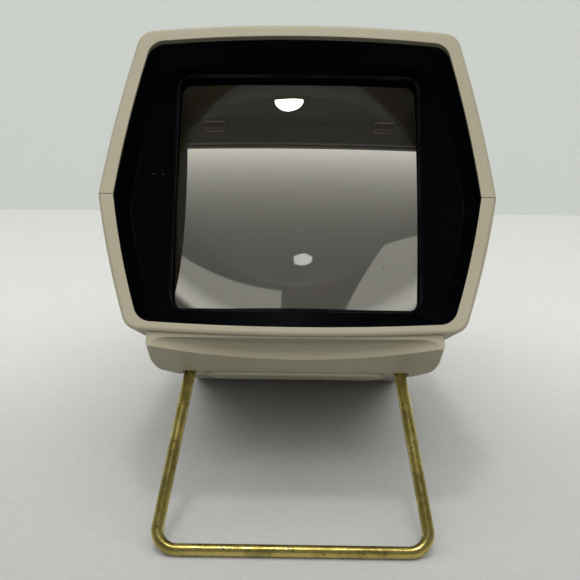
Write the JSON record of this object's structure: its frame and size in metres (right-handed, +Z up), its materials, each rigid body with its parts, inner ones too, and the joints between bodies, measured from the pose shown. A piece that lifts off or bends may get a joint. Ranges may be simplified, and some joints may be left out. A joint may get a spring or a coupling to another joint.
{
  "type": "slide viewer",
  "caption": "Hand-held lit slide viewer with a square magnifier, a top slot for a slide and a folding wire stand.",
  "frame": {"origin": "centre of the whole object's bounding box at table level, with the viewer standing on its wire stand", "axes": "+X to the viewer's right, +Y from the viewing mouth towards the rear, +Z up from the table"},
  "size_m": [0.0998, 0.145, 0.12],
  "materials": {
    "beige_shell": "satin moulded, very fine texture",
    "black_liner": "satin black moulding",
    "clear_lens": "polished clear moulding",
    "dark_inner": "matt dark brown-black",
    "opal_sheet": "milky, satin",
    "white_reflector": "gloss white",
    "bronze_spring": "rolled strip",
    "brass_wire": "plated wire, a little worn",
    "brass_part": "stamped brass",
    "steel_part": "plain steel",
    "spring_steel": "bright spring wire",
    "bulb_glass": "thin clear glass",
    "tungsten": "fine wire",
    "board": "brown laminate",
    "cell_jacket": "plain printed jacket",
    "wire_red": "insulated wire",
    "wire_black": "insulated wire"
  },
  "bodies": {
    "housing": {"upper_housing": "beige_shell", "lower_housing": "beige_shell", "lens_hood": "black_liner", "lens": "clear_lens", "lens_retainer": "black_liner", "retainer_screws": "steel_part", "light_tunnel": "dark_inner", "gate_plate": "dark_inner", "gate_frame": "dark_inner", "gate_spring_left": "bronze_spring", "gate_spring_right": "bronze_spring", "diffuser": "opal_sheet", "carrier_guide": "dark_inner", "carrier_spring_left": "spring_steel", "carrier_spring_right": "spring_steel", "switch_contact_left": "brass_part", "switch_contact_right": "brass_part", "lamp_reflector": "white_reflector", "lamp_socket": "brass_part", "lamp_board": "board", "lamp_tip_contact": "brass_part", "bulb_base": "brass_part", "bulb_glass": "bulb_glass", "bulb_filament": "tungsten", "cell_front": "cell_jacket", "cell_rear": "cell_jacket", "contact_plate_positive": "steel_part", "contact_plate_negative": "steel_part", "series_link_plate": "steel_part", "cell_spring_link": "spring_steel", "cell_spring_negative": "spring_steel", "wire_cell_to_lamp": "wire_red", "wire_lamp_to_switch": "wire_black", "wire_switch_to_cell": "wire_black", "door_hinge_pin": "steel_part", "housing_screws": "steel_part"},
    "stand": {"wire_stand": "brass_wire"},
    "door": {"battery_door": "beige_shell"},
    "carrier": {"slide_carrier": "dark_inner", "switch_bridge": "brass_part"}
  },
  "joints": [
    {"name": "stand_fold", "type": "hinge", "parent": "housing", "child": "stand", "pos_m": [0, -0.0378, 0.03558], "axis": [1, 0, 0], "range_deg": [0, 110.6]},
    {"name": "door_open", "type": "hinge", "parent": "housing", "child": "door", "pos_m": [0, 0.0368, 0.00352], "axis": [1, 0, 0], "range_deg": [0, 95]},
    {"name": "carrier_press", "type": "slide", "parent": "housing", "child": "carrier", "axis": [0, -0.5004, -0.8658], "range_m": [0, 0.003], "stiffness_N_per_m": 400, "springref_m": -0.001, "deforming": ["carrier_spring_left", "carrier_spring_right"]}
  ]
}
